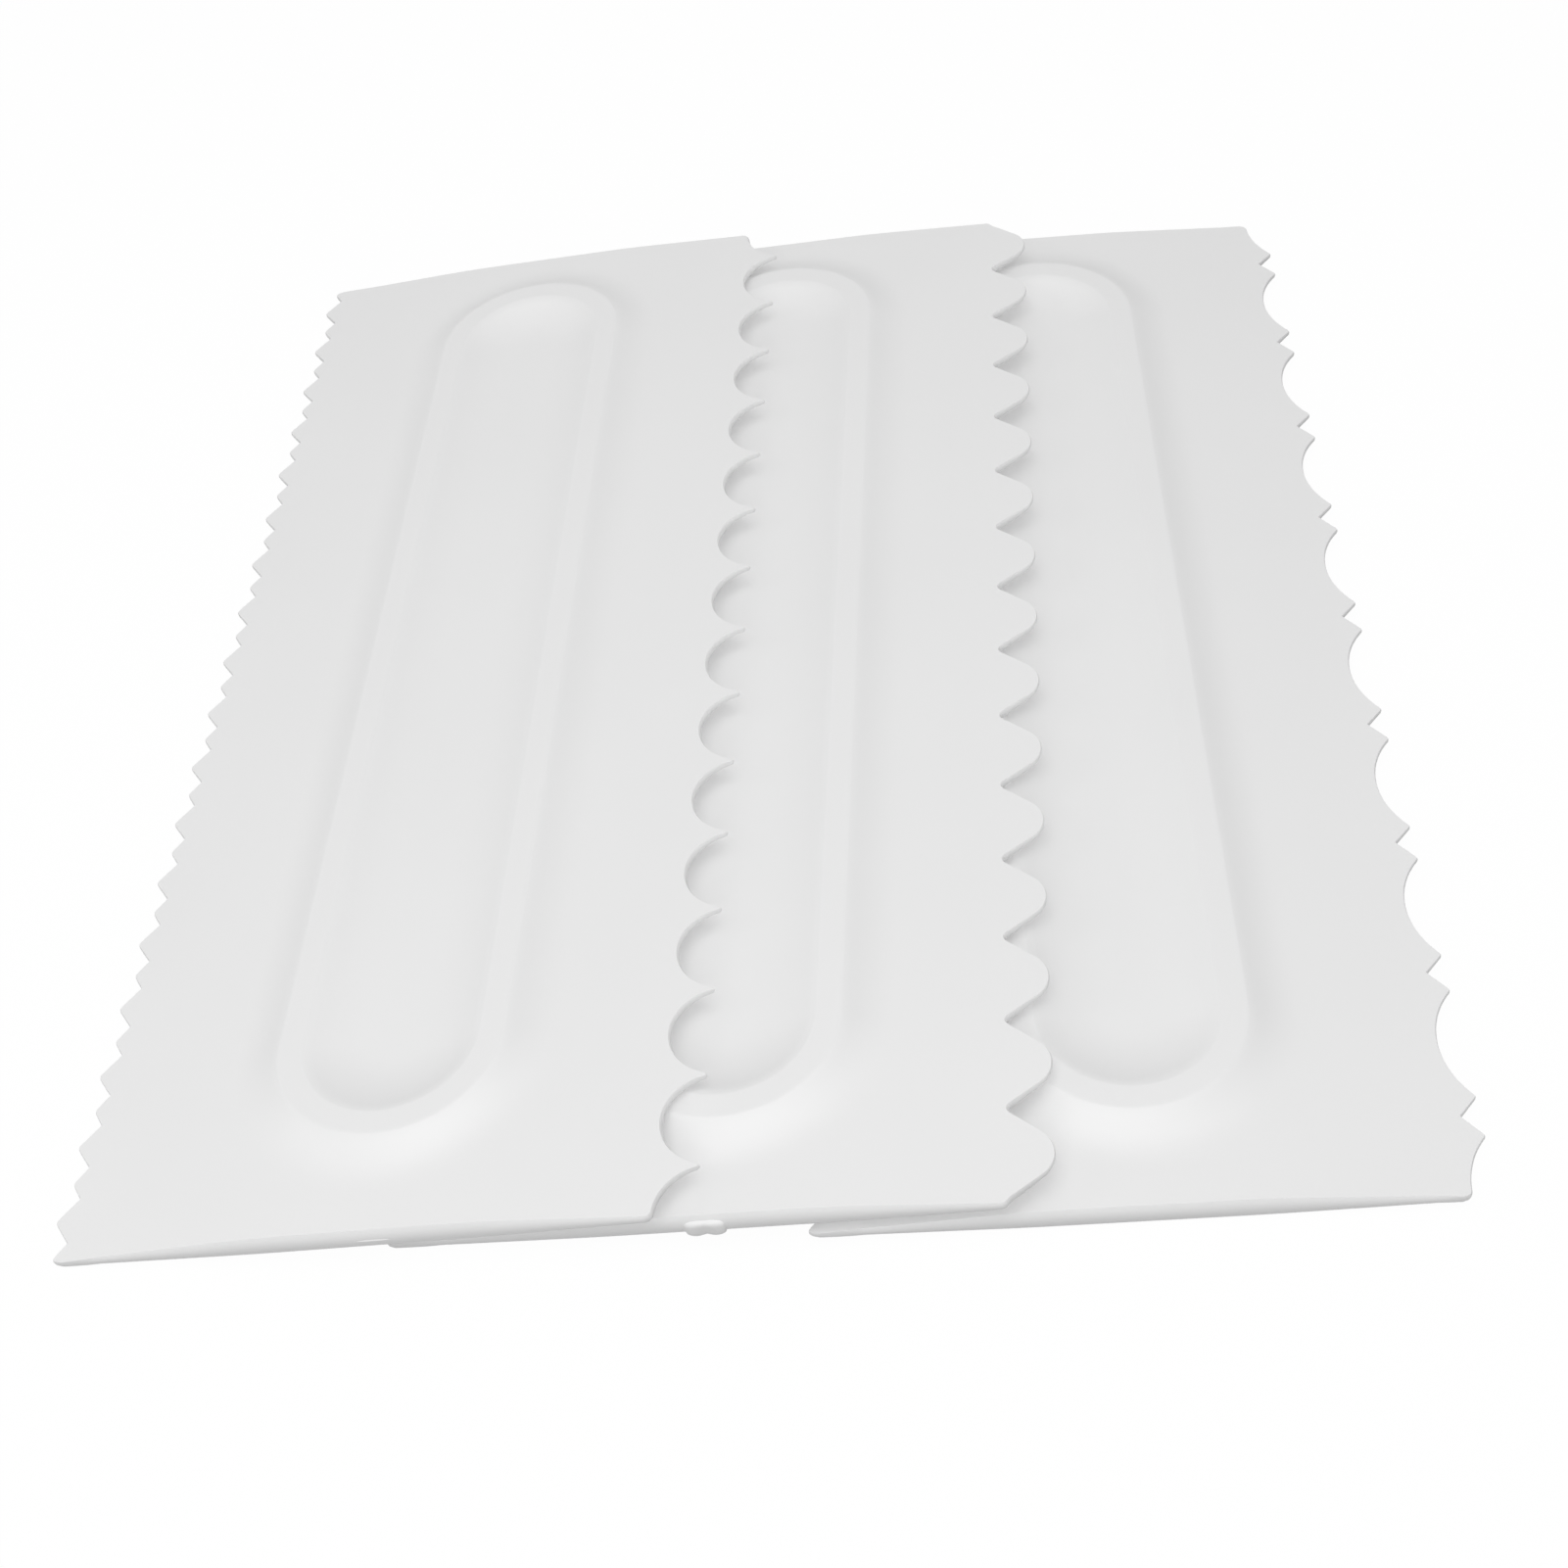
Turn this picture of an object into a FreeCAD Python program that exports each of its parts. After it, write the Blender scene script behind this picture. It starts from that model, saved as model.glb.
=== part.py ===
import FreeCAD, Part
import math
import os
import Sketcher
from FreeCAD import Placement, Rotation, Vector

# A set of three loose icing combs, laid in a fan so that each one leans on its right-hand neighbour.
# Every comb is one moulding: a plate that is thick along the middle and tapers to both long edges,
# two different toothed edges, and a long grip hollow inside a raised rim.
# Comb axes: X across the comb, Y along it, Z up. Lengths are millimetres, angles degrees.

doc = FreeCAD.newDocument("IcingCombs")
sheet = doc.addObject("Spreadsheet::Sheet", "Sizes")

SIZES = (
    # the plate, the same for all three combs
    ("comb_length", 226.0),          # short end to short end
    ("comb_width", 92.0),            # tooth tip to tooth tip
    ("middle_thick", 3.8),           # plate thickness along the middle
    ("edge_thick", 0.8),             # plate thickness at the toothed edges
    ("land_width", 32.0),            # flat band along the middle of both faces
    ("end_round_share", 1.15),       # bullnose of the short ends, of half the middle thickness
    # grip hollow and its rim, measured on the inner edge of the rim's crest
    ("end_land", 17.5),              # from the inner edge of the crest to the short end
    ("grip_width", 26.0),
    ("grip_along", 1.4),             # middle of the hollow, off the middle of the plate
    ("rim_height", 4.0),             # crest above the middle plane of the plate
    ("crest_flat", 4.1),             # level band on top of the rim
    ("skirt_run", 7.0),              # from the outer edge of the crest to the foot of the rim
    ("skirt_sink", 0.15),            # foot of the rim below the plate's surface
    ("floor_level", 1.5),            # floor of the hollow above the middle plane
    ("wall_share", 0.77),            # dished wall of the hollow, of half the grip width
    ("rim_lap", 1.5),                # how far the rim runs on inside the plate and along the floor
    ("foot_share", 0.9),             # rounds of the rim, of the largest that its runs allow
    ("floor_share", 0.95),
    # zigzag edge: large and small teeth by turns
    ("zigzag_pitch", 12.5),
    ("zigzag_small_base", 5.3),
    ("zigzag_large_height", 2.75),
    ("zigzag_small_height", 1.8),
    ("zigzag_tip_round", 0.5),
    # scalloped edge: round notches with narrow cusps between them
    ("scallop_pitch", 15.0),
    ("scallop_depth", 5.8),
    ("scallop_cusp", 0.4),
    # square-toothed edge
    ("slot_pitch", 12.5),
    ("slot_width", 6.0),
    ("slot_depth", 4.0),
    ("slot_round", 0.8),
    # waved edge: round lobes and tighter valleys
    ("wave_pitch", 15.0),
    ("wave_depth", 6.2),
    ("wave_lobe_round", 4.4),
    ("wave_valley_round", 1.0),
    # fine even teeth
    ("fine_pitch", 7.5),
    ("fine_depth", 3.2),
    ("fine_tip_round", 0.4),
    # shallow arcs with a small vee between them
    ("arc_pitch", 25.0),
    ("arc_depth", 3.4),
    ("arc_cusp", 0.3),
    ("vee_width", 6.2),
    ("vee_depth", 2.65),
    # narrow flat left on every rounded tip: how far the round would run past the plate's edge
    ("tip_trim", 0.03),
    # trimmed gate mark on one short end
    ("gate_width", 5.3),
    ("gate_height", 1.9),
    ("gate_proud", 0.5),
    ("gate_round", 0.6),
    # how the combs lie: steps from left-hand edge to left-hand edge, shifts along the combs, turns
    ("waved_step", 52.3),
    ("waved_shift", 2.9),
    ("waved_turn", -2.9),
    ("scalloped_step", 47.6),
    ("scalloped_shift", 2.9),
    ("scalloped_turn", -2.8),
    ("rest_gap", 0.3),               # kept between a comb and the rim that it leans on
    ("overrun", 3.0),                # how far every cut runs past the material
)
for row, (alias, value) in enumerate(SIZES, start=1):
    sheet.set("A%d" % row, alias)
    sheet.set("B%d" % row, str(value))
    sheet.setAlias("B%d" % row, alias)
doc.recompute()

# Sizes that several features share, worked out from the sheet
HALF_WIDTH = "Sizes.comb_width / 2"
HALF_LENGTH = "Sizes.comb_length / 2"
HALF_LAND = "Sizes.land_width / 2"
HALF_MIDDLE = "Sizes.middle_thick / 2"
HALF_EDGE = "Sizes.edge_thick / 2"
HALF_GRIP = "Sizes.grip_width / 2"
GRIP_STRAIGHT = "(Sizes.comb_length / 2 - Sizes.end_land - Sizes.grip_width / 2)"
THINNING = "(Sizes.middle_thick - Sizes.edge_thick) / 2"
TAPER_RUN = "(Sizes.comb_width - Sizes.land_width) / 2"
PAST_EDGE = "Sizes.comb_width / 2 + Sizes.overrun"
END_ROUND = "Sizes.end_round_share * Sizes.middle_thick / 2"


def size(expression):
    return float(sheet.evalExpression(expression))


def largest_arc(run, rise):
    # Radius of the arc that leaves the level and climbs this rise over this run.
    return "((%s) ^ 2 + (%s) ^ 2) / (2 * (%s))" % (run, rise, rise)


# The rim's outer side, down to its foot just inside the plate
CREST_X = HALF_GRIP + " + Sizes.crest_flat"
FOOT_X = CREST_X + " + Sizes.skirt_run"
FOOT_END = FOOT_X + " + Sizes.rim_lap"
FOOT_TAPER = "(%s - %s) / (%s)" % (FOOT_END, HALF_LAND, TAPER_RUN)
FOOT_Z = "(%s - %s * %s - Sizes.skirt_sink)" % (HALF_MIDDLE, THINNING, FOOT_TAPER)
SKIRT_ARC = largest_arc("Sizes.skirt_run", "Sizes.rim_height - " + FOOT_Z)


def new_sketch(body, name, plane, **offset):
    sketch = body.newObject("Sketcher::SketchObject", name)
    support = [feature for feature in body.Origin.OriginFeatures if feature.Role == plane]
    sketch.AttachmentSupport = [(support[0], "")]
    sketch.MapMode = "FlatFace"
    for axis, expression in offset.items():
        sketch.setExpression("AttachmentOffset.Base." + axis, expression)
    return sketch


def bind(sketch, kind, place, expression):
    index = sketch.addConstraint(Sketcher.Constraint(kind, *place, size(expression)))
    sketch.setExpression("Constraints[%d]" % index, expression)


def pin(sketch, geometry, end, station):
    bind(sketch, "DistanceX", (geometry, end), station[0])
    bind(sketch, "DistanceY", (geometry, end), station[1])


def disc(sketch, station):
    middle = Vector(size(station[0]), size(station[1]), 0)
    circle = sketch.addGeometry(Part.Circle(middle, Vector(0, 0, 1), size(station[2])), False)
    bind(sketch, "Radius", (circle,), station[2])
    pin(sketch, circle, 3, station)


def belt(sketch, stations):
    # Draws a closed outline past stations. A station is a corner (x, y) or a round (x, y, radius,
    # turn), turn 1 for anticlockwise. Straight runs join them and meet the rounds tangentially,
    # but a corner that lies on the next round, or on the last one, is that arc's own end.
    count = len(stations)
    places = [Vector(size(station[0]), size(station[1]), 0) for station in stations]
    pulls = [size(station[2]) * station[3] if len(station) > 2 else 0 for station in stations]
    runs = []
    for here in range(count):
        there = (here + 1) % count
        way = places[there] - places[here]
        pull = pulls[here] - pulls[there]
        corner_on_round = pulls[here] * pulls[there] == 0 and math.isclose(way.Length, abs(pull))
        if corner_on_round:
            runs.append(None)
            continue
        angle = math.atan2(way.y, way.x) + math.asin(pull / way.Length)
        side = Vector(-math.sin(angle), math.cos(angle), 0)
        start = places[here] - side * pulls[here]
        finish = places[there] - side * pulls[there]
        runs.append(sketch.addGeometry(Part.LineSegment(start, finish), False))
    for here, station in enumerate(stations):
        last = here - 1
        following = (here + 1) % count
        before = runs[last]
        after = runs[here]
        if len(station) == 2:
            if before is not None and after is not None:
                sketch.addConstraint(Sketcher.Constraint("Coincident", before, 2, after, 1))
                pin(sketch, after, 1, station)
            continue
        arrival = places[last] if before is None else sketch.Geometry[before].EndPoint
        leaving = places[following] if after is None else sketch.Geometry[after].StartPoint
        spokes = [arrival - places[here], leaving - places[here]]
        anticlockwise = pulls[here] > 0
        if not anticlockwise:
            spokes.reverse()
        angles = [math.atan2(spoke.y, spoke.x) for spoke in spokes]
        circle = Part.Circle(places[here], Vector(0, 0, 1), abs(pulls[here]))
        arc = sketch.addGeometry(Part.ArcOfCircle(circle, *angles), False)
        arrival_end, leaving_end = (1, 2) if anticlockwise else (2, 1)
        if before is None:
            sketch.addConstraint(Sketcher.Constraint("Coincident", runs[last - 1], 2, arc, arrival_end))
            bind(sketch, "DistanceY", (arc, arrival_end), stations[last][1])
        else:
            sketch.addConstraint(Sketcher.Constraint("Tangent", before, 2, arc, arrival_end))
        if after is None:
            sketch.addConstraint(Sketcher.Constraint("Coincident", runs[following], 1, arc, leaving_end))
            bind(sketch, "DistanceY", (arc, leaving_end), stations[following][1])
        else:
            sketch.addConstraint(Sketcher.Constraint("Tangent", after, 1, arc, leaving_end))
        bind(sketch, "Radius", (arc,), station[2])
        pin(sketch, arc, 3, station)


def plate(body):
    # The blank: the tapered section drawn out along the comb.
    upper = ((HALF_WIDTH, HALF_EDGE), (HALF_LAND, HALF_MIDDLE))
    left = [("-" + across, up) for across, up in reversed(upper)]
    lower = [(across, "-" + up) for across, up in left[::-1] + list(upper[::-1])]
    sketch = new_sketch(body, "PlateSection", "XZ_Plane")
    belt(sketch, list(upper) + left + lower)
    blank = body.newObject("PartDesign::Pad", "Plate")
    blank.Profile = sketch
    blank.SideType = "Symmetric"
    blank.setExpression("Length", "Sizes.comb_length")


def ends(body):
    # Rounds both short ends with one bullnose cut and its mirror image.
    nose = "%s - %s" % (HALF_LENGTH, END_ROUND)
    back = nose + " - Sizes.overrun"
    front = HALF_LENGTH + " + Sizes.overrun"
    clear = END_ROUND + " + Sizes.overrun"
    stations = (
        (front, clear), (back, clear), (back, END_ROUND), (nose, "0", END_ROUND, -1),
        (back, "-" + END_ROUND), (back, "-(%s)" % clear), (front, "-(%s)" % clear),
    )
    sketch = new_sketch(body, "EndNose", "YZ_Plane")
    belt(sketch, stations)
    cut = pocket_through(body, "FarEnd", sketch)
    mirror = body.newObject("PartDesign::Mirrored", "BothEnds")
    mirror.Originals = [cut]
    mirror.MirrorPlane = (sketch, ["V_Axis"])
    body.Tip = mirror


def grip(body):
    # The hollow is cut down to its floor inside the crest, and the rim is swept round it.
    loop = (
        (HALF_GRIP, "0"), ("0", GRIP_STRAIGHT, HALF_GRIP, 1), ("0", "-" + GRIP_STRAIGHT, HALF_GRIP, 1),
    )
    floor = new_sketch(body, "HollowOutline", "XY_Plane", y="Sizes.grip_along", z="Sizes.floor_level")
    belt(floor, loop[1:])
    hollow = body.newObject("PartDesign::Pocket", "Hollow")
    hollow.Profile = floor
    hollow.Type = "ThroughAll"
    hollow.Reversed = True
    path = new_sketch(body, "CrestLine", "XY_Plane", y="Sizes.grip_along")
    belt(path, loop)

    wall_run = "Sizes.wall_share * Sizes.grip_width / 2"
    wall_arc = largest_arc(wall_run, "Sizes.rim_height - Sizes.floor_level")
    foot_round = "Sizes.foot_share * " + SKIRT_ARC
    floor_round = "Sizes.floor_share * " + wall_arc
    root = "-Sizes.middle_thick / 4"
    wall_x = "%s - %s" % (HALF_GRIP, wall_run)
    floor_end = wall_x + " - Sizes.rim_lap"
    stations = (
        (floor_end, root), (FOOT_END, root), (FOOT_END, FOOT_Z),
        (FOOT_X, "%s + %s" % (FOOT_Z, foot_round), foot_round, -1),
        (CREST_X, "Sizes.rim_height"), (HALF_GRIP, "Sizes.rim_height"),
        (wall_x, floor_round + " + Sizes.floor_level", floor_round, -1),
        (floor_end, "Sizes.floor_level"),
    )
    section = new_sketch(body, "RimSection", "XZ_Plane", z="-Sizes.grip_along")
    belt(section, stations)
    rim = body.newObject("PartDesign::AdditivePipe", "Rim")
    rim.Profile = section
    rim.Spine = path
    rim.Mode = "Standard"
    rim.Transition = "Transformed"


def pocket_through(body, name, sketch):
    # Cuts an outline right through the plate, both ways from the sketch plane.
    pocket = body.newObject("PartDesign::Pocket", name)
    pocket.Profile = sketch
    pocket.SideType = "Symmetric"
    pocket.Type = "ThroughAll"
    return pocket


def notches(body, name, side, stations, pitch, count):
    # One row of equal notches along an edge, from the near end to the far one. Side 1 is the
    # right-hand edge, side -1 the left-hand edge.
    start = "-(%s - 1) / 2 * %s" % (count, pitch)
    sketch = new_sketch(body, name + "Outline", "XY_Plane", y=start)
    placed = []
    for station in stations:
        across = "%d * (%s)" % (side, station[0])
        bend = station[2:3] + tuple(side * turn for turn in station[3:])
        placed.append((across, station[1]) + bend)
    if len(placed) == 1:
        disc(sketch, placed[0])
    else:
        belt(sketch, placed)
    notch = pocket_through(body, name, sketch)
    row = body.newObject("PartDesign::LinearPattern", name + "Row")
    row.Originals = [notch]
    row.Direction = (sketch, ["V_Axis"])
    row.Mode = "Spacing"
    row.setExpression("Offset", pitch)
    row.setExpression("Occurrences", count)
    body.Tip = row


def covering(pitch):
    # Notches enough to reach both ends of the edge.
    return "ceil(Sizes.comb_length / %s)" % pitch


def zigzag_edge(body, side):
    tip = "Sizes.zigzag_tip_round"
    step = "Sizes.zigzag_pitch / 2"
    gap = "Sizes.zigzag_small_base / 2"
    root = HALF_WIDTH + " - Sizes.zigzag_large_height"
    crest = HALF_WIDTH + " + Sizes.tip_trim"
    large = crest + " - " + tip
    small = root + " + Sizes.zigzag_small_height - " + tip
    stations = (
        (PAST_EDGE, step), (crest, step), (large, step, tip, -1), (root, gap), (small, "0", tip, -1),
        (root, "-" + gap), (large, "-" + step, tip, -1), (crest, "-" + step), (PAST_EDGE, "-" + step),
    )
    notches(body, "Zigzag", side, stations, "Sizes.zigzag_pitch", covering("Sizes.zigzag_pitch"))


def scalloped_edge(body, side):
    half_chord = "(Sizes.scallop_pitch - Sizes.scallop_cusp) / 2"
    radius = largest_arc(half_chord, "Sizes.scallop_depth")
    middle = "%s - Sizes.scallop_depth + %s" % (HALF_WIDTH, radius)
    notches(
        body, "Scallop", side, ((middle, "0", radius),),
        "Sizes.scallop_pitch", covering("Sizes.scallop_pitch"),
    )


def slotted_edge(body, side):
    bottom = HALF_WIDTH + " - Sizes.slot_depth + Sizes.slot_round"
    flank = "Sizes.slot_width / 2"
    corner = "(Sizes.slot_width / 2 - Sizes.slot_round)"
    stations = (
        (PAST_EDGE, flank), (bottom, corner, "Sizes.slot_round", 1),
        (bottom, "-" + corner, "Sizes.slot_round", 1), (PAST_EDGE, "-" + flank),
    )
    whole = "floor(Sizes.comb_length / Sizes.slot_pitch)"
    notches(body, "Slot", side, stations, "Sizes.slot_pitch", whole)


def waved_edge(body, side):
    lobe = "Sizes.wave_lobe_round"
    valley = "Sizes.wave_valley_round"
    step = "Sizes.wave_pitch / 2"
    crest = HALF_WIDTH + " + Sizes.tip_trim"
    lobe_x = crest + " - " + lobe
    valley_x = "%s - Sizes.wave_depth + %s" % (HALF_WIDTH, valley)
    stations = (
        (PAST_EDGE, step), (crest, step), (lobe_x, step, lobe, -1), (valley_x, "0", valley, 1),
        (lobe_x, "-" + step, lobe, -1), (crest, "-" + step), (PAST_EDGE, "-" + step),
    )
    notches(body, "Wave", side, stations, "Sizes.wave_pitch", covering("Sizes.wave_pitch"))


def fine_edge(body, side):
    tip = "Sizes.fine_tip_round"
    step = "Sizes.fine_pitch / 2"
    crest = HALF_WIDTH + " + Sizes.tip_trim"
    tip_x = crest + " - " + tip
    root = HALF_WIDTH + " - Sizes.fine_depth"
    stations = (
        (PAST_EDGE, step), (crest, step), (tip_x, step, tip, -1), (root, "0"),
        (tip_x, "-" + step, tip, -1), (crest, "-" + step), (PAST_EDGE, "-" + step),
    )
    notches(body, "Fine", side, stations, "Sizes.fine_pitch", covering("Sizes.fine_pitch") + " + 1")


def arched_edge(body, side):
    half_chord = "((Sizes.arc_pitch - Sizes.vee_width) / 2 - Sizes.arc_cusp)"
    radius = largest_arc(half_chord, "Sizes.arc_depth")
    middle = "%s - Sizes.arc_depth + %s" % (HALF_WIDTH, radius)
    count = covering("Sizes.arc_pitch")
    notches(body, "Arch", side, ((middle, "0", radius),), "Sizes.arc_pitch", count)
    mouth = "Sizes.vee_width / 2 * (1 + Sizes.overrun / Sizes.vee_depth)"
    vee = ((PAST_EDGE, mouth), (HALF_WIDTH + " - Sizes.vee_depth", "0"), (PAST_EDGE, "-" + mouth))
    notches(body, "Vee", side, vee, "Sizes.arc_pitch", "(%s - 1)" % count)


def gate(body):
    # The sprue's trimmed stump on the near short end.
    across = "(Sizes.gate_width / 2 - Sizes.gate_round)"
    up = "(Sizes.gate_height / 2 - Sizes.gate_round)"
    bend = ("Sizes.gate_round", 1)
    stations = (
        (across, "-" + up) + bend, (across, up) + bend,
        ("-" + across, up) + bend, ("-" + across, "-" + up) + bend,
    )
    sketch = new_sketch(body, "GateOutline", "XZ_Plane", z="%s - %s" % (HALF_LENGTH, END_ROUND))
    belt(sketch, stations)
    stump = body.newObject("PartDesign::Pad", "Gate")
    stump.Profile = sketch
    stump.setExpression("Length", END_ROUND + " + Sizes.gate_proud")


def comb(label, left_edge, right_edge):
    body = doc.addObject("PartDesign::Body", label)
    body.Label = label
    plate(body)
    grip(body)
    ends(body)
    left_edge(body, -1)
    right_edge(body, 1)
    return body


arched = comb("arched_comb", fine_edge, arched_edge)
waved = comb("waved_comb", slotted_edge, waved_edge)
gate(waved)
scalloped = comb("scalloped_comb", zigzag_edge, scalloped_edge)
combs = (arched, waved, scalloped)
doc.recompute()


def supports(placement):
    # What a comb in this place holds up its neighbour with, each a point and the room it needs: the
    # outer edge of its left-hand rim, and the corners of its left-hand edge.
    gap = size("Sizes.rest_gap")
    rim_x = -size(CREST_X)
    rim_ends = [size("Sizes.grip_along - " + GRIP_STRAIGHT), size("Sizes.grip_along + " + GRIP_STRAIGHT)]
    rim_z = size("Sizes.rim_height")
    held = [(Vector(rim_x, rim_end, rim_z), gap) for rim_end in rim_ends]
    half_length = size(HALF_LENGTH)
    for end in (-half_length, half_length):
        held.append((Vector(-size(HALF_WIDTH), end, size(HALF_EDGE)), gap))
    return [(placement.multVec(point), room) for point, room in held]


def leaning(across, along, turn, props):
    # A comb whose left-hand edge lies at this place on the table and whose underside leans on its
    # neighbour, but for the rest gap. Each face of the underside is a line, seen along the comb: its
    # slope in the comb, and its depth below the left-hand edge.
    slope = math.atan(size("%s / (%s)" % (THINNING, TAPER_RUN)))
    underside = (
        (-slope, 0),
        (0, size(THINNING)),
        (slope, size("Sizes.comb_width") * math.sin(slope)),
    )
    spin = Rotation(Vector(0, 0, 1), turn)
    edge = Vector(across, along, 0)
    tilts = []
    for point, room in props:
        way = spin.inverted().multVec(point - edge)
        span = math.hypot(way.x, way.z)
        rise = math.atan2(way.z, way.x)
        tilts.append(min(rise - lean + math.asin((depth + room) / span) for lean, depth in underside))
    lie = spin * Rotation(Vector(0, 1, 0), -math.degrees(max(tilts)))
    edge_corner = lie.multVec(Vector(-size(HALF_WIDTH), 0, -size(HALF_EDGE)))
    land_corner = lie.multVec(Vector(-size(HALF_LAND), 0, -size(HALF_MIDDLE)))
    middle = edge - edge_corner
    middle.z = -min(edge_corner.z, land_corner.z)
    return Placement(middle, lie)


flat = Placement(Vector(0, 0, size(HALF_MIDDLE)), Rotation())
waved_edge_x = -size("%s + Sizes.waved_step" % HALF_WIDTH)
waved_place = leaning(
    waved_edge_x, size("Sizes.waved_shift"), size("Sizes.waved_turn"), supports(flat),
)
scalloped_edge_x = waved_edge_x - size("Sizes.scalloped_step")
scalloped_place = leaning(
    scalloped_edge_x, size("Sizes.scalloped_shift"), size("Sizes.scalloped_turn"),
    supports(waved_place),
)
for body, place in zip(combs, (flat, waved_place, scalloped_place)):
    body.Placement = place
doc.recompute()

# The origin lies on the table, under the middle of the whole set.
whole = FreeCAD.BoundBox()
for body in combs:
    whole.add(body.Shape.optimalBoundingBox(False))
shift = Placement(Vector(-whole.Center.x, -whole.Center.y, -whole.ZMin), Rotation())
for body in combs:
    body.Placement = shift.multiply(body.Placement)
doc.recompute()

for item in doc.Objects:
    if "Invalid" in item.State or "Error" in item.State:
        raise RuntimeError("feature failed: " + item.Label)
os.makedirs("parts", exist_ok=True)
for body in combs:
    shape = body.Shape
    if shape.isNull() or not shape.isValid() or len(shape.Solids) != 1:
        raise RuntimeError("not one valid solid: " + body.Label)
    shape.exportStep("parts/%s.step" % body.Label)
    print(body.Label, round(shape.Volume), body.Placement)
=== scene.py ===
import math
import bmesh
import bpy
from mathutils import Euler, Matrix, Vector


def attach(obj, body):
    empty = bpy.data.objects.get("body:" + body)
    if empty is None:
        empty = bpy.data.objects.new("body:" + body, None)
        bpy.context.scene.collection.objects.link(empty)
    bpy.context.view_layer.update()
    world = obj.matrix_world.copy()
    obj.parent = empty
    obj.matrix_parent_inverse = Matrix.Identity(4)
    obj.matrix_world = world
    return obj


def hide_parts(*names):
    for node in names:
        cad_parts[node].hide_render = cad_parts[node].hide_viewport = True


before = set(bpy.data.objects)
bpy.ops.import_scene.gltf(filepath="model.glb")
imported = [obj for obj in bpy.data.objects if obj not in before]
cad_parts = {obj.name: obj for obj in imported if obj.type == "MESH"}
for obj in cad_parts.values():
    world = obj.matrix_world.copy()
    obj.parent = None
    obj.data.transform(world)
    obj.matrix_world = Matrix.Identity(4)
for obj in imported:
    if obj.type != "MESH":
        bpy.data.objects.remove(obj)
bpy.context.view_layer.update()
print("frame:", ", ".join(sorted(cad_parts)))

millimetre = 0.001  # in metres, the frame's own unit


class Field:  # a node socket that can be added and multiplied, so that a tree reads like the rule it holds
    def __init__(self, tree, socket):
        self.tree = tree
        self.socket = socket

    def op(self, operation, *values, clamped=False):
        node = self.tree.nodes.new("ShaderNodeMath")
        node.operation = operation
        node.use_clamp = clamped
        for plug, value in zip(node.inputs, values):
            feed(self.tree, plug, value)
        return Field(self.tree, node.outputs[0])

    def __add__(self, other):
        return self.op("ADD", self, other)

    def __radd__(self, other):
        return self.op("ADD", other, self)

    def __sub__(self, other):
        return self.op("SUBTRACT", self, other)

    def __rsub__(self, other):
        return self.op("SUBTRACT", other, self)

    def __mul__(self, other):
        return self.op("MULTIPLY", self, other)

    def __truediv__(self, other):
        return self.op("DIVIDE", self, other)

    def __neg__(self):
        return self.op("MULTIPLY", self, -1.0)

    def __abs__(self):
        return self.op("ABSOLUTE", self)

    def root(self):
        return self.op("SQRT", self.op("MAXIMUM", self, 0.0))

    def squared(self):
        return self.op("MULTIPLY", self, self)

    def sine(self):
        return self.op("SINE", self)

    def cosine(self):
        return self.op("COSINE", self)

    def atMost(self, other):
        return self.op("MINIMUM", self, other)

    def atLeast(self, other):
        return self.op("MAXIMUM", self, other)

    def between(self, reach):
        return self.atMost(reach).atLeast(-reach)

    def softAtMost(self, other, width):
        return self.op("SMOOTH_MIN", self, other, width)

    def share(self):  # clamped to 0..1
        return self.op("ADD", self, 0.0, clamped=True)

    def below(self, other):
        return self.op("LESS_THAN", self, other)

    def above(self, other):
        return self.op("GREATER_THAN", self, other)

    def inRow(self, pitch, shift=0.0):  # distance from the middle of the nearest step of a row
        return abs(self.op("WRAP", self - pitch * shift, pitch * 0.5, pitch * -0.5))


def feed(tree, plug, value):
    if isinstance(value, Field):
        tree.links.new(value.socket, plug)
    else:
        plug.default_value = value


def mix(low, high, share):
    return low + (high - low) * share


# how far each kind of edge is cut back from the tips, as a rule of the place along the comb
# row holds the sizes of that row of teeth

halfStep = 0.5  # shifts a row by half its pitch, so that a notch lies between two teeth
flankSlack = 0.01  # millimetres, so that a point on a slot's flank counts as in the slot


def zigzagCut(along, row):  # large and small teeth by turns
    step = row["Pitch"] * 0.5
    gap = row["Small Base"] * 0.5
    off = along.inRow(row["Pitch"])
    soft = row["Tip Round"]
    smallSide = (off.squared() + soft.squared()).root() - soft
    largeSide = ((step - off).squared() + soft.squared()).root() - soft
    smallCut = row["Large Height"] - row["Small Height"] + smallSide * row["Small Height"] / gap
    return smallCut.atMost(largeSide * row["Large Height"] / (step - gap))


def scallopCut(along, row):  # round notches with narrow cusps
    halfChord = (row["Pitch"] - row["Cusp"]) * 0.5
    radius = (halfChord.squared() + row["Depth"].squared()) / (row["Depth"] * 2.0)
    off = along.inRow(row["Pitch"], halfStep)
    return ((radius.squared() - off.squared()).root() - radius + row["Depth"]).atLeast(0.0)


def slotCut(along, row):  # square slots with rounded bottom corners
    off = along.inRow(row["Pitch"], halfStep)
    flank = row["Slot Width"] * 0.5
    into = (off - flank + row["Corner"]).atLeast(0.0)
    bottom = row["Depth"] - row["Corner"] + (row["Corner"].squared() - into.squared()).root()
    return bottom * off.below(flank + flankSlack)


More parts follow.
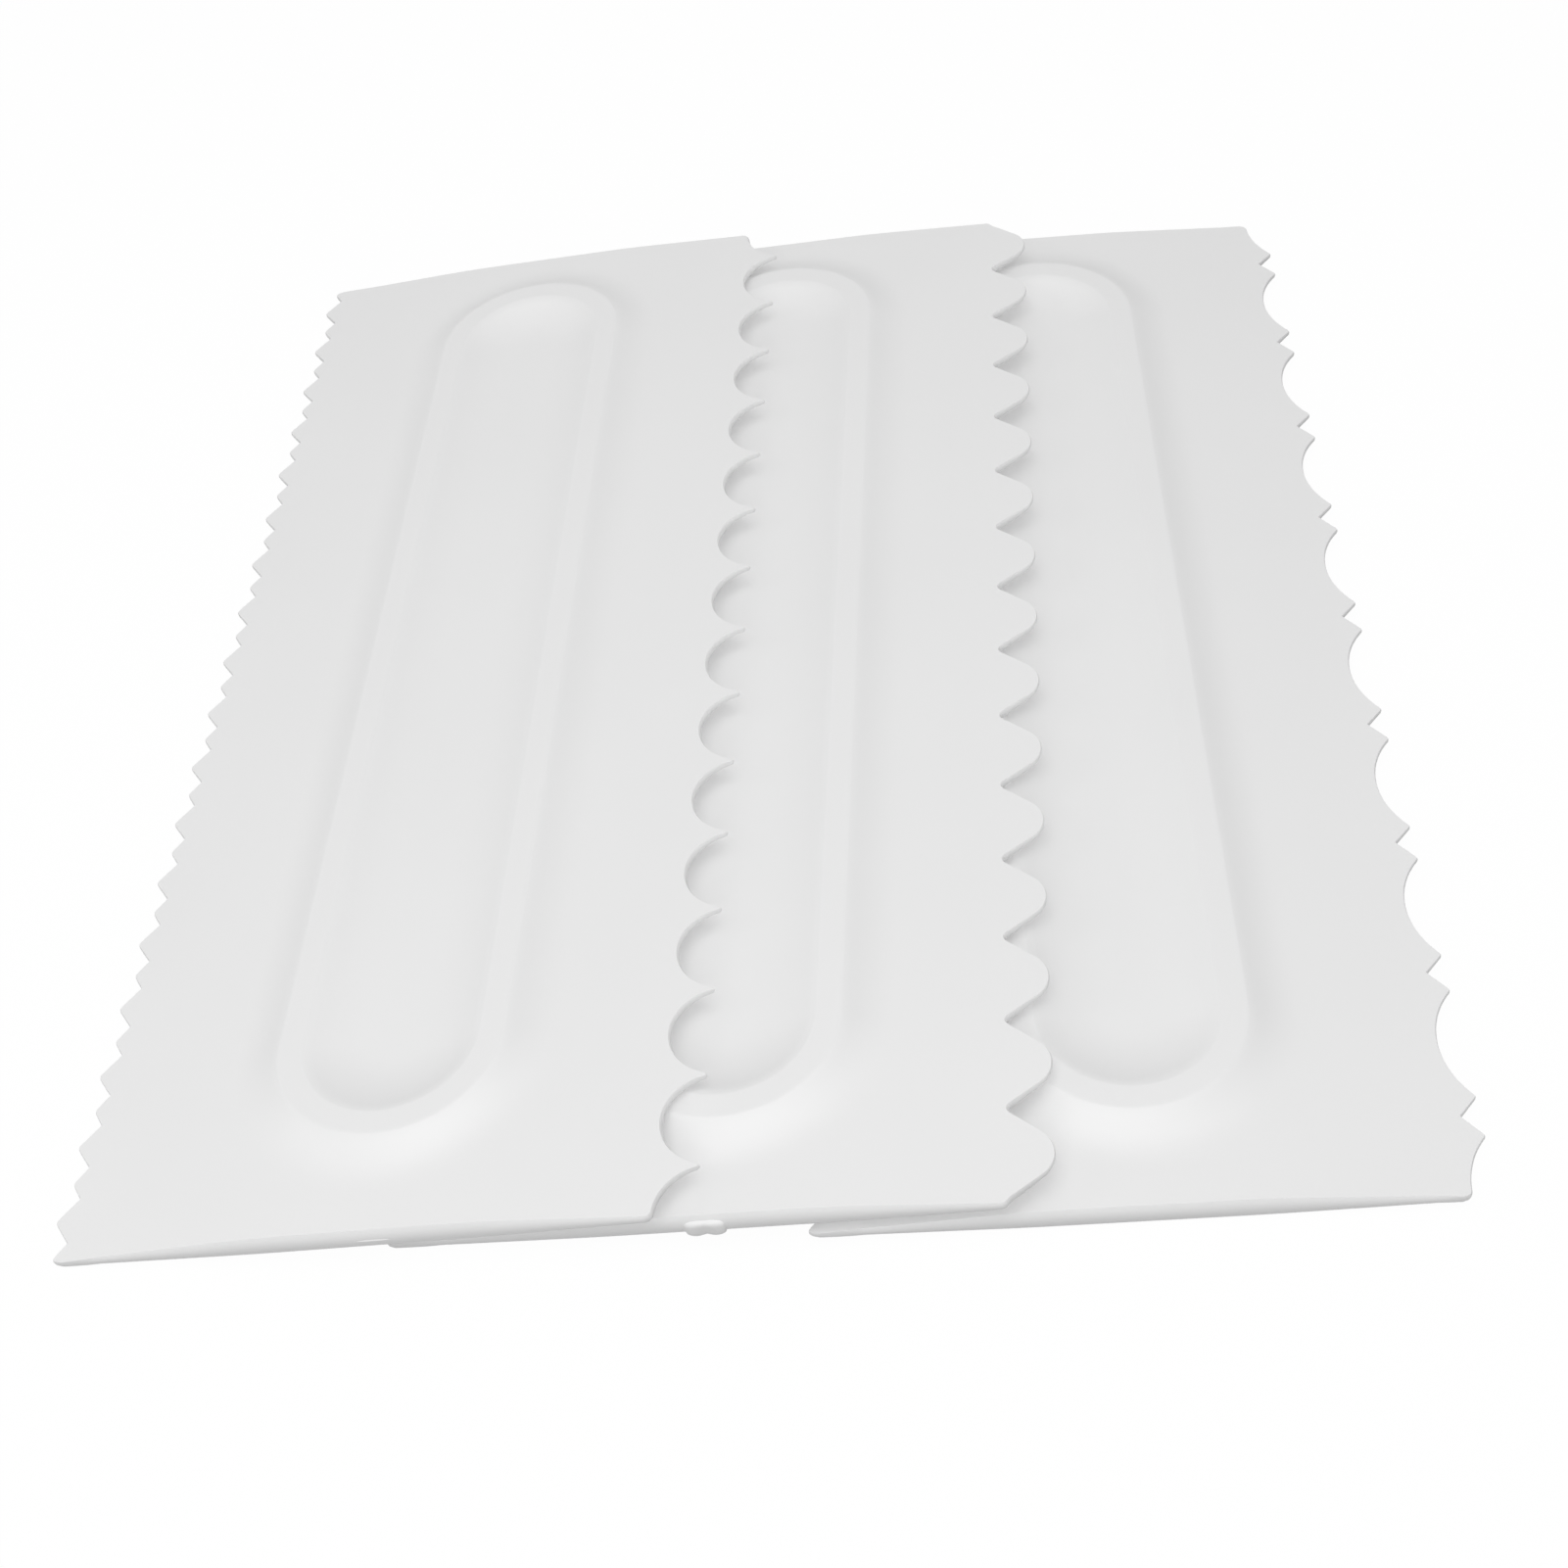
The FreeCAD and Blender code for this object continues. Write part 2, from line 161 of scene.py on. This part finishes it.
def waveCut(along, row):  # round lobes, straight flanks, tighter valleys
    reach = row["Pitch"] * 0.5
    lobe, valley = row["Lobe Round"], row["Valley Round"]
    off = along.inRow(row["Pitch"], halfStep)
    drop = row["Depth"] - lobe - valley
    span = (drop.squared() + reach.squared()).root()
    lean = off.op("ARCTAN2", reach, drop) + off.op("ARCCOSINE", (lobe + valley) / span)
    sine, cosine = lean.sine(), lean.cosine()
    valleyCut = row["Depth"] - valley + (valley.squared() - off.squared()).root()
    lobeCut = lobe - (lobe.squared() - (reach - off).squared()).root()
    flankCut = row["Depth"] - valley - valley * cosine + (off - valley * sine) * sine / cosine
    inValley = off.below(valley * sine)
    beforeLobe = off.below(reach - lobe * sine)
    return mix(mix(lobeCut, flankCut, beforeLobe), valleyCut, inValley)


def fineCut(along, row):  # small even teeth
    step = row["Pitch"] * 0.5
    soft = row["Tip Round"]
    off = along.inRow(row["Pitch"])
    return ((off.squared() + soft.squared()).root() - soft) * row["Depth"] / step


def archCut(along, row):  # shallow arcs with a small vee between them
    halfChord = (row["Pitch"] - row["Vee Width"]) * 0.5 - row["Cusp"]
    radius = (halfChord.squared() + row["Depth"].squared()) / (row["Depth"] * 2.0)
    off = along.inRow(row["Pitch"], halfStep)
    arch = (radius.squared() - off.squared()).root() - radius + row["Depth"]
    vee = row["Vee Depth"] * (1.0 - along.inRow(row["Pitch"]) / (row["Vee Width"] * 0.5))
    return arch.atLeast(vee).atLeast(0.0)


combBlank = {  # the same for all three combs, in millimetres where the note gives no other unit
    "Length": 226.0,
    "Width": 92.0,
    "Middle Thickness": 3.8,
    "Edge Thickness": 0.8,
    "Land Width": 32.0,  # level band along the middle
    "Land Softness": 0.25,  # share of the taper that eases into the land
    "Corner Round": 1.2,
    "Edge Run": 0.35,  # depth of the rounded edge, share of half the thickness there
    "Edge Start": 1.0,  # radians: the round starts this far on, so the edge meets the face at a crisp corner
    "Tooth Margin": 8.0,  # band along the sides that holds all the teeth
    "End Margin": 1.7,
    "End Land": 17.5,  # from a short end to the crest's inner side
    "Grip Width": 26.0,  # between the inner sides of the crest
    "Grip Along": 1.4,  # how far the grip sits towards the far end
    "Rim Height": 4.0,  # crest above the middle plane
    "Crest Flat": 4.1,
    "Crest Edge": 0.3,  # strip along the crest's inner side
    "Crest Softness": 0.7,  # strip along the crest's outer side that eases into the skirt
    "Skirt Run": 7.2,
    "Hollow Depth": 2.5,
    "Wall Run": 10.5,
}
combs = {  # middle in millimetres, turn about the upright and tilt to the left in degrees
    "scalloped_comb": {
        "middle": (-47.6645, -0.0691, 5.27385), "turn": -2.8, "tilt": 6.08491,
        "left": (zigzagCut, {"Pitch": 12.5, "Small Base": 5.3, "Large Height": 2.75, "Small Height": 1.8,
                             "Tip Round": 0.25}),
        "right": (scallopCut, {"Pitch": 15.0, "Depth": 5.8, "Cusp": 0.4}),
    },
    "waved_comb": {
        "middle": (0.0112, -0.1528, 4.52995), "turn": -2.9, "tilt": 5.15305,
        "left": (slotCut, {"Pitch": 12.5, "Slot Width": 6.0, "Depth": 4.0, "Corner": 0.8}),
        "right": (waveCut, {"Pitch": 15.0, "Depth": 6.2, "Lobe Round": 4.4, "Valley Round": 1.0}),
    },
    "arched_comb": {
        "middle": (52.5917, -0.7368, 1.9), "turn": 0.0, "tilt": 0.0,
        "left": (fineCut, {"Pitch": 7.5, "Depth": 3.2, "Tip Round": 0.2}),
        "right": (archCut, {"Pitch": 25.0, "Depth": 3.4, "Cusp": 0.3, "Vee Width": 6.2, "Vee Depth": 2.65}),
    },
}
combMesh = {  # how finely a comb is drawn: steps along a side and an end, and across each band of a face
    "side": 904, "end": 160,
    "top": {"floor": 1, "wall": 8, "inner": 1, "crest": 1, "outer": 3, "skirt": 7, "plate": 3, "teeth": 2,
            "edge": 4},
    "under": {"land": 1, "bend": 3, "plate": 1, "teeth": 1, "edge": 4},
    "underShares": {"land": 0.42, "bend": 0.2},  # reach of the first two bands, of the land's width
    "weld": 0.002,  # millimetres
    "crisp": 0.75,  # radians, the bend from which an edge is drawn crisp
}


def combLie(comb):
    return (0.0, math.radians(-comb["tilt"]), math.radians(comb["turn"]))


def bandShares(across, counts):  # for each band in turn, how much of it lies inside this place
    shares, start = {}, 0
    for band, count in counts.items():
        shares[band] = ((across - float(start)) / float(count)).share()
        start += count
    return shares


def combFace(tree, sizes, left, right, under):
    # A face is a sheet of spokes from the middle line of the grip out to the toothed outline, so that its
    # rows follow the rim. Its height is a rule of the place.
    counts = combMesh["under" if under else "top"]
    columns = sum(counts.values())
    side, end = combMesh["side"], combMesh["end"]
    spokes = 2 * (side + end)
    grid = tree.nodes.new("GeometryNodeMeshGrid")
    for axis, steps in (("X", columns), ("Y", spokes)):
        grid.inputs["Size " + axis].default_value = steps
        grid.inputs["Vertices " + axis].default_value = steps + 1
    place = tree.nodes.new("GeometryNodeInputPosition")
    parts = tree.nodes.new("ShaderNodeSeparateXYZ")
    tree.links.new(place.outputs[0], parts.inputs[0])
    across = Field(tree, parts.outputs["X"]) + columns / 2
    spoke = Field(tree, parts.outputs["Y"]) + spokes / 2

    # the outline: up the right side, over the far end, down the left side, back along the near end
    up = (spoke / float(side)).share()
    over = ((spoke - float(side)) / float(end)).share()
    down = ((spoke - float(side + end)) / float(side)).share()
    back = ((spoke - float(2 * side + end)) / float(end)).share()
    half, halfLength = sizes["Width"] * 0.5, sizes["Length"] * 0.5
    outY = sizes["Length"] * (up - down) - halfLength
    intoCorner = (abs(outY) - halfLength + sizes["Corner Round"]).atLeast(0.0)
    corner = sizes["Corner Round"] - (sizes["Corner Round"].squared() - intoCorner.squared()).root()
    rightX = half - right(outY) - corner
    leftX = left(outY) + corner - half
    outX = mix(rightX, leftX, over - back)

    # the shoulder lies behind all the teeth; spokes run to it square to the rim, then straight into the teeth
    midX = outX.between(half - sizes["Tooth Margin"])
    midY = outY.between(halfLength - sizes["End Margin"])
    straight = halfLength - sizes["End Land"] - sizes["Grip Width"] * 0.5
    fromX, fromY = midX, midY - sizes["Grip Along"]
    seatY = fromY.between(straight)
    length = (fromX.squared() + (fromY - seatY).squared()).root()
    pastX, pastY = outX - midX, outY - midY
    pastLength = (pastX.squared() + pastY.squared()).root()

    def halfThick(x):
        taper = (half - abs(x)) / (half - sizes["Land Width"] * 0.5)
        return mix(sizes["Edge Thickness"], sizes["Middle Thickness"],
                   taper.atLeast(0.0).softAtMost(1.0, sizes["Land Softness"])) * 0.5

    share = bandShares(across, counts)
    crest = sizes["Grip Width"] * 0.5
    if under:
        landReach = sizes["Land Width"] * combMesh["underShares"]["land"]
        bendReach = sizes["Land Width"] * combMesh["underShares"]["bend"]
        reach = landReach * share["land"] + bendReach * share["bend"]
        foot = landReach + bendReach
    else:
        reach = (crest - sizes["Wall Run"]) * share["floor"] + sizes["Wall Run"] * share["wall"]
        reach = reach + sizes["Crest Edge"] * share["inner"] + sizes["Crest Softness"] * share["outer"]
        reach = reach + (sizes["Crest Flat"] - sizes["Crest Edge"] - sizes["Crest Softness"]) * share["crest"]
        reach = reach + sizes["Skirt Run"] * share["skirt"]
        foot = crest + sizes["Crest Flat"] + sizes["Skirt Run"]
    reach = reach + (length - foot) * share["plate"]
    rounded = halfThick(outX) * sizes["Edge Run"]
    start = sizes["Edge Start"]
    turn = mix(start, math.pi / 2, share["edge"])
    rounding = (turn.sine() - start.sine()) / (1.0 - start.sine())
    past = (pastLength - rounded) * share["teeth"] + rounded * rounding
    x = fromX * reach / length + pastX * past / pastLength
    y = sizes["Grip Along"] + seatY + (fromY - seatY) * reach / length + pastY * past / pastLength

    height = halfThick(x)
    if not under:
        offCrest = reach - crest
        toFoot = (1.0 - (offCrest - sizes["Crest Flat"]) / sizes["Skirt Run"]).atLeast(0.0)
        toFoot = toFoot.softAtMost(1.0, sizes["Crest Softness"] / sizes["Skirt Run"])
        toFloor = 1.0 - ((-offCrest) / sizes["Wall Run"]).share()
        sunk = sizes["Hollow Depth"] * (1.0 - toFloor.squared())
        height = mix(height, sizes["Rim Height"], toFoot.squared()) - sunk
    height = height * turn.cosine() / start.cosine()
    if under:
        height = -height

    joined = tree.nodes.new("ShaderNodeCombineXYZ")
    for plug, value in zip(joined.inputs, (x, y, height)):
        feed(tree, plug, value)
    moved = tree.nodes.new("GeometryNodeSetPosition")
    tree.links.new(grid.outputs["Mesh"], moved.inputs["Geometry"])
    tree.links.new(joined.outputs[0], moved.inputs["Position"])
    if not under:
        return moved.outputs[0]
    flipped = tree.nodes.new("GeometryNodeFlipFaces")
    tree.links.new(moved.outputs[0], flipped.inputs[0])
    return flipped.outputs[0]


def combTree(name, comb):
    tree = bpy.data.node_groups.new(name + "Rule", "GeometryNodeTree")
    tree.interface.new_socket("Comb", in_out="OUTPUT", socket_type="NodeSocketGeometry")
    inputs = dict(combBlank)
    for edge in ("left", "right"):
        for size, value in comb[edge][1].items():
            inputs[edge.capitalize() + " " + size] = value
    for size, value in inputs.items():
        socket = tree.interface.new_socket(size, in_out="INPUT", socket_type="NodeSocketFloat")
        socket.default_value = value
    tree.interface.new_socket("Middle", in_out="INPUT", socket_type="NodeSocketVector")
    tree.interface.new_socket("Lie", in_out="INPUT", socket_type="NodeSocketRotation")
    tree.interface.new_socket("Plastic", in_out="INPUT", socket_type="NodeSocketMaterial")
    given = tree.nodes.new("NodeGroupInput")
    sizes = {size: Field(tree, given.outputs[size]) for size in inputs}

    def edgeRule(edge):
        rule, own = comb[edge]
        named = {size: sizes[edge.capitalize() + " " + size] for size in own}
        return lambda along: rule(along, named)

    faces = [combFace(tree, sizes, edgeRule("left"), edgeRule("right"), under) for under in (True, False)]
    kinds = {"shell": "JoinGeometry", "weld": "MergeByDistance", "smooth": "SetShadeSmooth",
             "crisp": "SetShadeSmooth", "lay": "Transform", "whole": "RealizeInstances",
             "dress": "SetMaterial"}
    stages = {stage: tree.nodes.new("GeometryNode" + kind) for stage, kind in kinds.items()}
    chain = list(stages.values()) + [tree.nodes.new("NodeGroupOutput")]
    for face in faces:
        tree.links.new(face, stages["shell"].inputs[0])
    for before, after in zip(chain, chain[1:]):
        tree.links.new(before.outputs[0], after.inputs[0])
    stages["weld"].inputs["Distance"].default_value = combMesh["weld"]
    stages["crisp"].domain = "EDGE"  # the corners of the edges and the flanks of slots stay crisp
    bend = Field(tree, tree.nodes.new("GeometryNodeInputMeshEdgeAngle").outputs[0])
    feed(tree, stages["crisp"].inputs["Shade Smooth"], bend.below(combMesh["crisp"]))
    stages["lay"].inputs["Scale"].default_value = (millimetre, millimetre, millimetre)
    for socket, stage, plug in (("Middle", "lay", "Translation"), ("Lie", "lay", "Rotation"),
                                ("Plastic", "dress", "Material")):
        tree.links.new(given.outputs[socket], stages[stage].inputs[plug])
    return tree, inputs


def madeByRule(name, tree, values):  # runs a tree once and keeps the plain mesh
    thing = bpy.data.objects.new(name, bpy.data.meshes.new(name + "Seed"))
    bpy.context.scene.collection.objects.link(thing)
    rule = thing.modifiers.new("rule", "NODES")
    rule.node_group = tree
    for item in tree.interface.items_tree:
        if item.in_out == "INPUT" and item.name in values:
            rule[item.identifier] = values[item.name]
    graph = bpy.context.evaluated_depsgraph_get()
    mesh = bpy.data.meshes.new_from_object(thing.evaluated_get(graph))
    thing.modifiers.remove(rule)
    thing.data = mesh
    mesh.name = name
    return thing


# finishes

skinPattern = {  # what the mould leaves, the same on every piece
    "cloudScale": 26.0, "cloudDetail": 2.0, "cloudGloss": 0.08,
    "speckScale": 34.0, "speckReach": 0.013, "speckRarity": 0.7, "speckDark": 0.22,
    "grainScale": 1400.0, "grainDetail": 1.0, "grainDepth": 0.00004,
}


def mouldedSkin():  # slight cloudiness, tiny specks and the fine grain that a mould leaves
    group = bpy.data.node_groups.new("mouldedSkin", "ShaderNodeTree")
    sockets = {
        "INPUT": {"Tone": "Color", "Clouds": "Float", "Gloss": "Float", "Grain": "Float"},
        "OUTPUT": {"Colour": "Color", "Roughness": "Float", "Normal": "Vector"},
    }
    for way, kinds in sockets.items():
        for name, kind in kinds.items():
            group.interface.new_socket(name, in_out=way, socket_type="NodeSocket" + kind)
    given, out = group.nodes.new("NodeGroupInput"), group.nodes.new("NodeGroupOutput")
    where = group.nodes.new("ShaderNodeTexCoord")

    def noise(scale, detail):
        node = group.nodes.new("ShaderNodeTexNoise")
        node.inputs["Scale"].default_value = scale
        node.inputs["Detail"].default_value = detail
        group.links.new(where.outputs["Object"], node.inputs["Vector"])
        return Field(group, node.outputs[0])

    cloud = noise(skinPattern["cloudScale"], skinPattern["cloudDetail"]) - 0.5
    cells = group.nodes.new("ShaderNodeTexVoronoi")
    cells.inputs["Scale"].default_value = skinPattern["speckScale"]
    group.links.new(where.outputs["Object"], cells.inputs["Vector"])
    lot = group.nodes.new("ShaderNodeSeparateColor")
    group.links.new(cells.outputs["Color"], lot.inputs[0])
    chosen = Field(group, lot.outputs[0]).above(skinPattern["speckRarity"])
    speck = Field(group, cells.outputs["Distance"]).below(skinPattern["speckReach"]) * chosen
    shade = 1.0 + cloud * Field(group, given.outputs["Clouds"]) - speck * skinPattern["speckDark"]
    tinted = group.nodes.new("ShaderNodeVectorMath")
    tinted.operation = "SCALE"
    group.links.new(given.outputs["Tone"], tinted.inputs[0])
    feed(group, tinted.inputs["Scale"], shade)
    group.links.new(tinted.outputs[0], out.inputs["Colour"])
    rough = Field(group, given.outputs["Gloss"]) + cloud * skinPattern["cloudGloss"]
    feed(group, out.inputs["Roughness"], rough)
    bump = group.nodes.new("ShaderNodeBump")
    bump.inputs["Distance"].default_value = skinPattern["grainDepth"]
    group.links.new(given.outputs["Grain"], bump.inputs["Strength"])
    feed(group, bump.inputs["Height"], noise(skinPattern["grainScale"], skinPattern["grainDetail"]))
    group.links.new(bump.outputs[0], out.inputs["Normal"])
    return group


def plastic(name, skin, finish):
    material = bpy.data.materials.new(name)
    material.use_nodes = True
    nodes, links = material.node_tree.nodes, material.node_tree.links
    shader = nodes["Principled BSDF"]
    shader.inputs["Specular IOR Level"].default_value = finish["specular"]
    look = nodes.new("ShaderNodeGroup")
    look.node_tree = skin
    for socket, value in (("Tone", "tone"), ("Clouds", "clouds"), ("Gloss", "roughness"), ("Grain", "grain")):
        look.inputs[socket].default_value = finish[value]
    for socket, plug in (("Colour", "Base Color"), ("Roughness", "Roughness"), ("Normal", "Normal")):
        links.new(look.outputs[socket], shader.inputs[plug])
    # milky plastic lets part of the lamps' light through to what lies under it
    path = nodes.new("ShaderNodeLightPath")
    passed = nodes.new("ShaderNodeMath")
    passed.operation = "MULTIPLY"
    passed.inputs[1].default_value = finish["passes"]
    through = nodes.new("ShaderNodeBsdfTransparent")
    blend = nodes.new("ShaderNodeMixShader")
    links.new(path.outputs["Is Shadow Ray"], passed.inputs[0])
    links.new(passed.outputs[0], blend.inputs["Fac"])
    links.new(shader.outputs[0], blend.inputs[1])
    links.new(through.outputs[0], blend.inputs[2])
    links.new(blend.outputs[0], nodes["Material Output"].inputs["Surface"])
    return material


combFinish = {"tone": (0.80, 0.80, 0.80, 1.0), "clouds": 0.03, "roughness": 0.42, "grain": 0.12,
              "specular": 0.4, "passes": 0.75}
scarFinish = {"tone": (0.82, 0.82, 0.82, 1.0), "clouds": 0.05, "roughness": 0.55, "grain": 0.4,
              "specular": 0.3, "passes": 0.7}
skin = mouldedSkin()
combPlastic = plastic("combPlastic", skin, combFinish)
scarPlastic = plastic("scarPlastic", skin, scarFinish)
print("finishes made")

for name, comb in combs.items():
    ownName = name.replace("_comb", "Comb")
    tree, inputs = combTree(ownName, comb)
    values = dict(inputs)
    values["Middle"] = [length * millimetre for length in comb["middle"]]
    values["Lie"] = combLie(comb)
    values["Plastic"] = combPlastic
    piece = madeByRule(ownName, tree, values)
    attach(piece, name)
    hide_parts(name)
    print(name, len(piece.data.vertices), "points", len(piece.data.polygons), "faces")

gateMarks = {  # trimmed gates on near ends: middle on the comb's own axes, half sizes, millimetres
    "waved_comb": {"middle": (-1.3, -112.3, -0.4), "half": (2.9, 1.2, 1.55), "bumps": 0.35, "square": 0.5},
    "scalloped_comb": {"middle": (1.5, -112.2, 0.1), "half": (3.4, 0.88, 0.35), "bumps": 0.03, "square": 0.6},
}
gateShape = {  # steps of the mesh, and the dent between the bumps in shares of the half sizes
    "around": 40, "rows": 20, "weld": 0.0001,  # weld in millimetres
    "dentWidth": 0.25, "dentMiddle": 0.6, "dentFade": 0.4,
}


def gateMark(name, mark, comb):  # a rounded block with two soft bumps where the cutters met
    around, rows = gateShape["around"], gateShape["rows"]
    lie = Euler(combLie(comb)).to_matrix()
    points, faces = [], []

    def bulge(value):
        return math.copysign(abs(value) ** mark["square"], value)

    for row in range(rows + 1):
        lean = math.pi * (row / rows - 0.5)
        for step in range(around):
            angle = 2.0 * math.pi * step / around
            x = bulge(math.cos(angle)) * bulge(math.cos(lean))
            y = bulge(math.sin(angle)) * bulge(math.cos(lean))
            z = bulge(math.sin(lean))
            deep = math.exp(-(x / gateShape["dentWidth"]) ** 2) * max(-y, 0.0)
            dent = mark["bumps"] * deep * (gateShape["dentMiddle"] - gateShape["dentFade"] * z)
            spot = Vector(mark["middle"]) + Vector((x, y + dent, z)) * Vector(mark["half"])
            points.append((Vector(comb["middle"]) + lie @ spot) * millimetre)
    for row in range(rows):
        for step in range(around):
            after = (step + 1) % around
            low, high = row * around, (row + 1) * around
            faces.append((low + step, low + after, high + after, high + step))
    mesh = bpy.data.meshes.new(name)
    mesh.from_pydata(points, [], faces)
    welded = bmesh.new()
    welded.from_mesh(mesh)
    bmesh.ops.remove_doubles(welded, verts=welded.verts, dist=gateShape["weld"] * millimetre)
    welded.to_mesh(mesh)
    welded.free()
    mesh.shade_smooth()
    mesh.materials.append(scarPlastic)
    piece = bpy.data.objects.new(name, mesh)
    bpy.context.scene.collection.objects.link(piece)
    return piece


for name, mark in gateMarks.items():
    piece = gateMark(name.replace("_comb", "Gate"), mark, combs[name])
    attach(piece, name)
print("gate marks made")


# studio: a pale floor, soft lamps above, in front and at the left, a white surround

studio = {  # metres and watts
    "floorSize": 6.0, "floorDrop": 0.0001, "floorSeen": 0.95, "floorBounce": 0.35, "floorWhite": 0.96,
    "lamps": {
        "topLamp": {"place": (-0.02, -0.26, 0.95), "size": 0.8, "power": 5.1},
        "frontLamp": {"place": (-0.1, -0.8, 0.4), "size": 0.5, "power": 1.4},
        "leftLamp": {"place": (-0.82, -0.12, 0.57), "size": 0.2, "power": 0.5},
    },
    "surround": 0.43,
}


def seenDirectly(nodes, links):  # 1 for the camera, mirrors and glass
    path = nodes.new("ShaderNodeLightPath")
    first = nodes.new("ShaderNodeMath")
    second = nodes.new("ShaderNodeMath")
    for node in (first, second):
        node.operation = "MAXIMUM"
    links.new(path.outputs["Is Camera Ray"], first.inputs[0])
    links.new(path.outputs["Is Glossy Ray"], first.inputs[1])
    links.new(first.outputs[0], second.inputs[0])
    links.new(path.outputs["Is Transmission Ray"], second.inputs[1])
    return second.outputs[0]


def floorMaterial():  # almost white where it is seen, greyer where it lights the combs, with their shadow
    material = bpy.data.materials.new("paleFloor")
    material.use_nodes = True
    nodes, links = material.node_tree.nodes, material.node_tree.links
    nodes.remove(nodes["Principled BSDF"])
    paint = nodes.new("ShaderNodeBsdfDiffuse")
    seen = seenDirectly(nodes, links)
    tone = nodes.new("ShaderNodeMapRange")
    tone.inputs["To Min"].default_value = studio["floorBounce"]
    tone.inputs["To Max"].default_value = studio["floorSeen"]
    links.new(seen, tone.inputs["Value"])
    links.new(tone.outputs[0], paint.inputs["Color"])
    white = nodes.new("ShaderNodeEmission")
    blend = nodes.new("ShaderNodeMixShader")
    share = nodes.new("ShaderNodeMath")
    share.operation = "MULTIPLY"
    share.inputs[1].default_value = studio["floorWhite"]
    links.new(seen, share.inputs[0])
    links.new(share.outputs[0], blend.inputs["Fac"])
    links.new(paint.outputs[0], blend.inputs[1])
    links.new(white.outputs[0], blend.inputs[2])
    links.new(blend.outputs[0], nodes["Material Output"].inputs["Surface"])
    return material


floorMesh = bpy.data.meshes.new("floor")
reach = studio["floorSize"] / 2
corners = ((-reach, -reach), (reach, -reach), (reach, reach), (-reach, reach))
floorMesh.from_pydata([(x, y, -studio["floorDrop"]) for x, y in corners], [], [(0, 1, 2, 3)])
floorMesh.materials.append(floorMaterial())
floor = bpy.data.objects.new("floor", floorMesh)
bpy.context.scene.collection.objects.link(floor)

for name, setup in studio["lamps"].items():
    lampData = bpy.data.lights.new(name, "AREA")
    lampData.size = setup["size"]
    lampData.energy = setup["power"]
    lamp = bpy.data.objects.new(name, lampData)
    lamp.location = setup["place"]
    lamp.rotation_euler = (-lamp.location).to_track_quat("-Z", "Y").to_euler()
    bpy.context.scene.collection.objects.link(lamp)

world = bpy.data.worlds.new("surround")
world.use_nodes = True
bpy.context.scene.world = world
air, airLinks = world.node_tree.nodes, world.node_tree.links
sky = air["Background"]
sky.inputs["Color"].default_value = (1.0, 1.0, 1.0, 1.0)
level = air.new("ShaderNodeMapRange")
level.inputs["To Min"].default_value = studio["surround"]
level.inputs["To Max"].default_value = 1.0
airLinks.new(seenDirectly(air, airLinks), level.inputs["Value"])
airLinks.new(level.outputs[0], sky.inputs["Strength"])

camera = {  # place in millimetres, turn in degrees, focus, centre and frame in pixels of the photo
    "place": (29.047, -294.297, 280.939), "turn": (43.9676, 4.6517, -0.7314),
    "focus": 2485.87, "centre": (840.0, 770.0), "frame": 1601.0,
    "sensor": 36.0, "nearClip": 10.0,  # millimetres
}
cameraData = bpy.data.cameras.new("camera")
cameraData.sensor_width = camera["sensor"]
cameraData.lens = camera["focus"] * camera["sensor"] / camera["frame"]
cameraData.shift_x = 0.5 - camera["centre"][0] / camera["frame"]
cameraData.shift_y = camera["centre"][1] / camera["frame"] - 0.5
cameraData.clip_start = camera["nearClip"] * millimetre
cameraObject = bpy.data.objects.new("camera", cameraData)
cameraObject.location = [length * millimetre for length in camera["place"]]
cameraObject.rotation_euler = [math.radians(angle) for angle in camera["turn"]]
bpy.context.scene.collection.objects.link(cameraObject)
bpy.context.scene.camera = cameraObject
bpy.context.scene.view_settings.view_transform = "Standard"
print("studio made")
